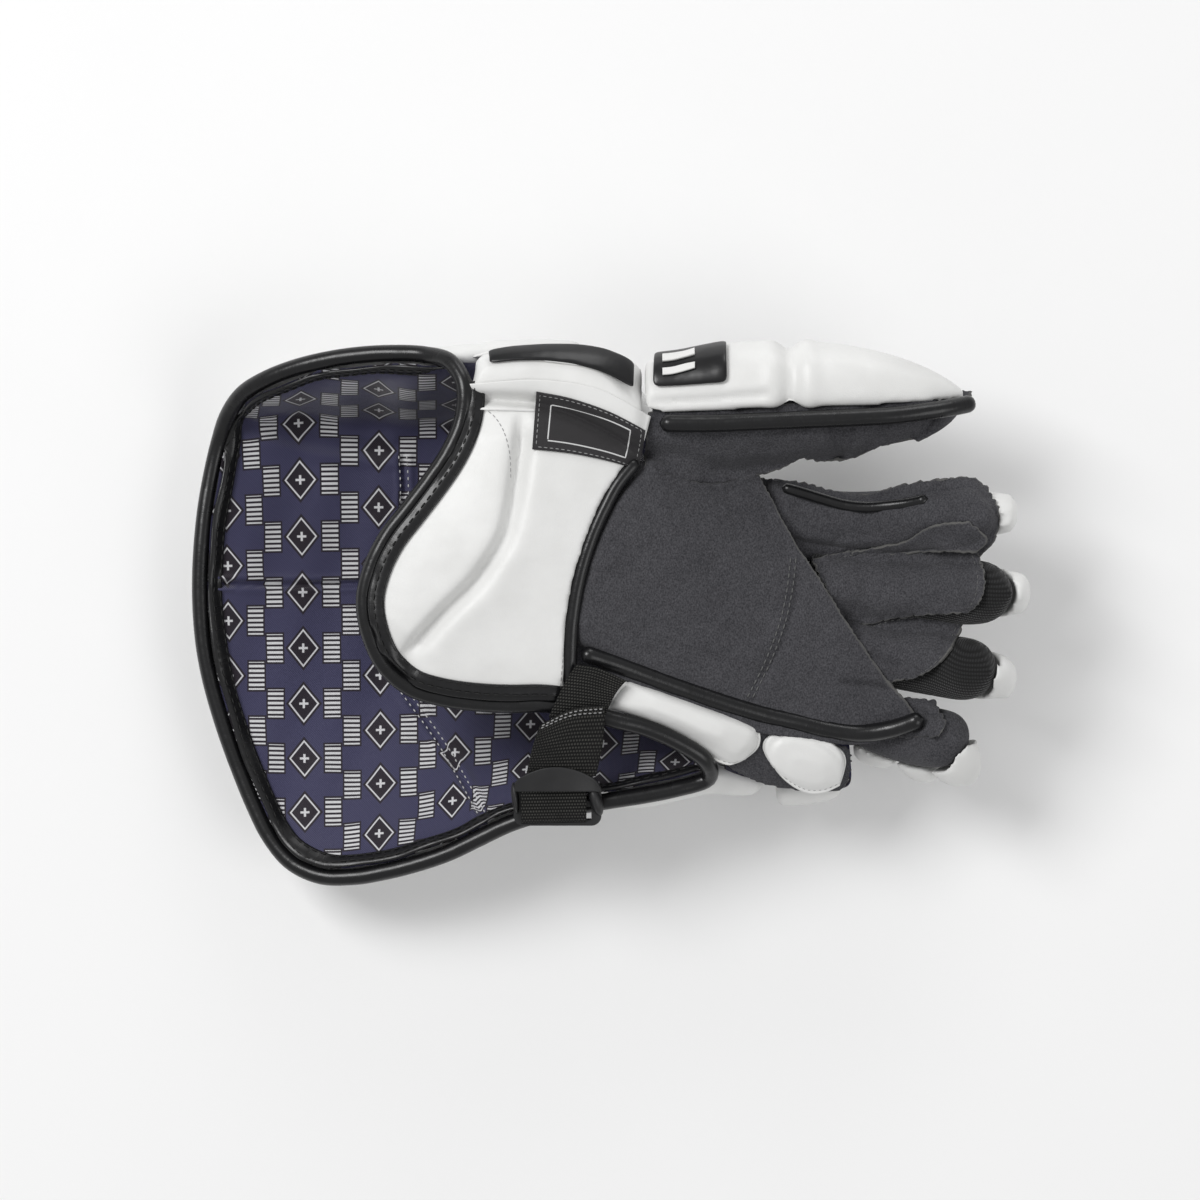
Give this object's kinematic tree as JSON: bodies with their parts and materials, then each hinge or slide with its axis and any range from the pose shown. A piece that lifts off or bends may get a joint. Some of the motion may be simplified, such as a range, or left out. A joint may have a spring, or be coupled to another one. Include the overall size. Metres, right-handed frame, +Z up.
{
  "type": "lacrosse goalie glove",
  "caption": "Padded goalie glove for the right hand, palm up, with a flared lined cuff, an arched wrist flap and a webbing strap with a slide buckle.",
  "frame": {"origin": "under the middle of the glove, on the surface that the back of the hand lies on", "axes": "+X to the fingertips, +Y to the thumb, +Z up out of the palm"},
  "size_m": [0.337, 0.22, 0.0926],
  "materials": {
    "white_leather": "smooth white coated leather, low sheen",
    "black_leather": "glossy black coated leather with fine creases",
    "suede": "matt grey synthetic suede with a speckled nap",
    "mesh": "black knitted mesh",
    "lining": "navy twill with a small printed pattern",
    "webbing": "black ribbed webbing",
    "buckle_plastic": "moulded, satin",
    "woven_label": "fine woven satin"
  },
  "bodies": {
    "root": {"cuff_lining": "lining", "hand_lining": "lining", "cuff_shell": "white_leather", "wrist_flap": "white_leather", "flap_lining": "lining", "side_panel": "white_leather", "hand_pad_rear_1": "white_leather", "hand_pad_rear_2": "white_leather", "hand_pad_rear_3": "white_leather", "hand_pad_front_1": "white_leather", "hand_pad_front_2": "white_leather", "hand_pad_front_3": "white_leather", "hand_pad_front_4": "white_leather", "cuff_binding": "black_leather", "flap_binding": "black_leather", "palm_panel": "suede", "palm_roll": "black_leather", "side_wall": "suede", "side_pad_long": "white_leather", "side_pad_oval": "white_leather", "index_stall": "suede", "index_pad_1": "white_leather", "index_pad_2": "white_leather", "index_pad_3": "white_leather", "middle_stall": "mesh", "middle_pad_1": "white_leather", "middle_pad_2": "white_leather", "middle_pad_3": "white_leather", "ring_stall": "mesh", "ring_pad_1": "white_leather", "ring_pad_2": "white_leather", "ring_pad_3": "white_leather", "little_stall": "suede", "little_pad_1": "white_leather", "little_pad_2": "white_leather", "little_pad_3": "white_leather", "middle_patch": "suede", "ring_patch": "suede", "index_welt": "black_leather", "thumb_stall": "suede", "thumb_shell": "white_leather", "thumb_welt": "black_leather", "side_badge": "black_leather", "thumb_badge": "black_leather", "label": "woven_label", "strap_anchor": "webbing", "strap_band": "webbing", "buckle": "buckle_plastic", "buckle_loop": "webbing"}
  },
  "joints": []
}
